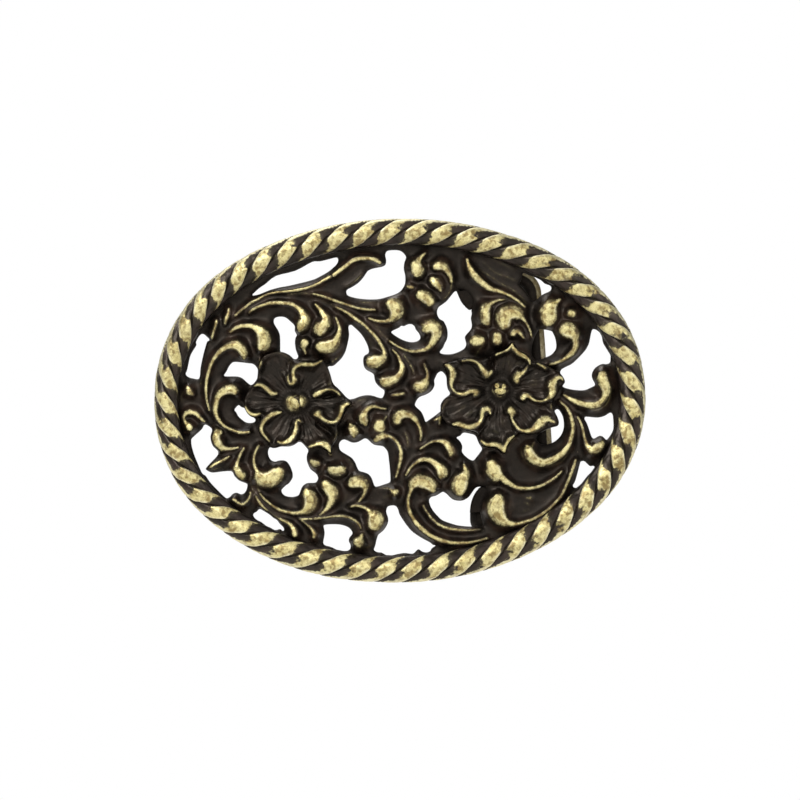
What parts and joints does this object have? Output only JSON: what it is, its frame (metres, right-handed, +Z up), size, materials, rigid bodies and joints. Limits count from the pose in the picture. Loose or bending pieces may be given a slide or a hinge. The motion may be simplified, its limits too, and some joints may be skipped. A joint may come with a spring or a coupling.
{
  "type": "belt buckle",
  "caption": "Oval openwork belt buckle with a twisted rope rim, scroll and flower casting, a swinging wire bale for the belt end and a belt hook behind.",
  "frame": {"origin": "middle of the oval on the back face of the casting", "axes": "+X to the wearer's left along the belt, to the right as seen from the front; +Y from the decorated face towards the belt; +Z up"},
  "size_m": [0.0892, 0.0145, 0.0658],
  "materials": {
    "casting": "antique brass: dark brown patina in the hollows, worn bright on the raised edges",
    "bale_wire": "antique brass wire, dark, dull sheen",
    "back_fittings": "dark brown patina, satin"
  },
  "bodies": {
    "buckle": {"rope_rim": "casting", "scrollwork": "casting", "left_flower": "casting", "right_flower": "casting", "left_flower_bead": "casting", "right_flower_bead": "casting", "upper_bale_lug": "back_fittings", "lower_bale_lug": "back_fittings", "hook_boss": "back_fittings", "belt_hook": "back_fittings"},
    "bale": {"bale": "bale_wire"}
  },
  "joints": [
    {"name": "bale_hinge", "type": "hinge", "parent": "buckle", "child": "bale", "pos_m": [0.01385, 0.00358, -0.0001], "axis": [-0.0698, 0, 0.9976], "range_deg": [0, 180]}
  ]
}
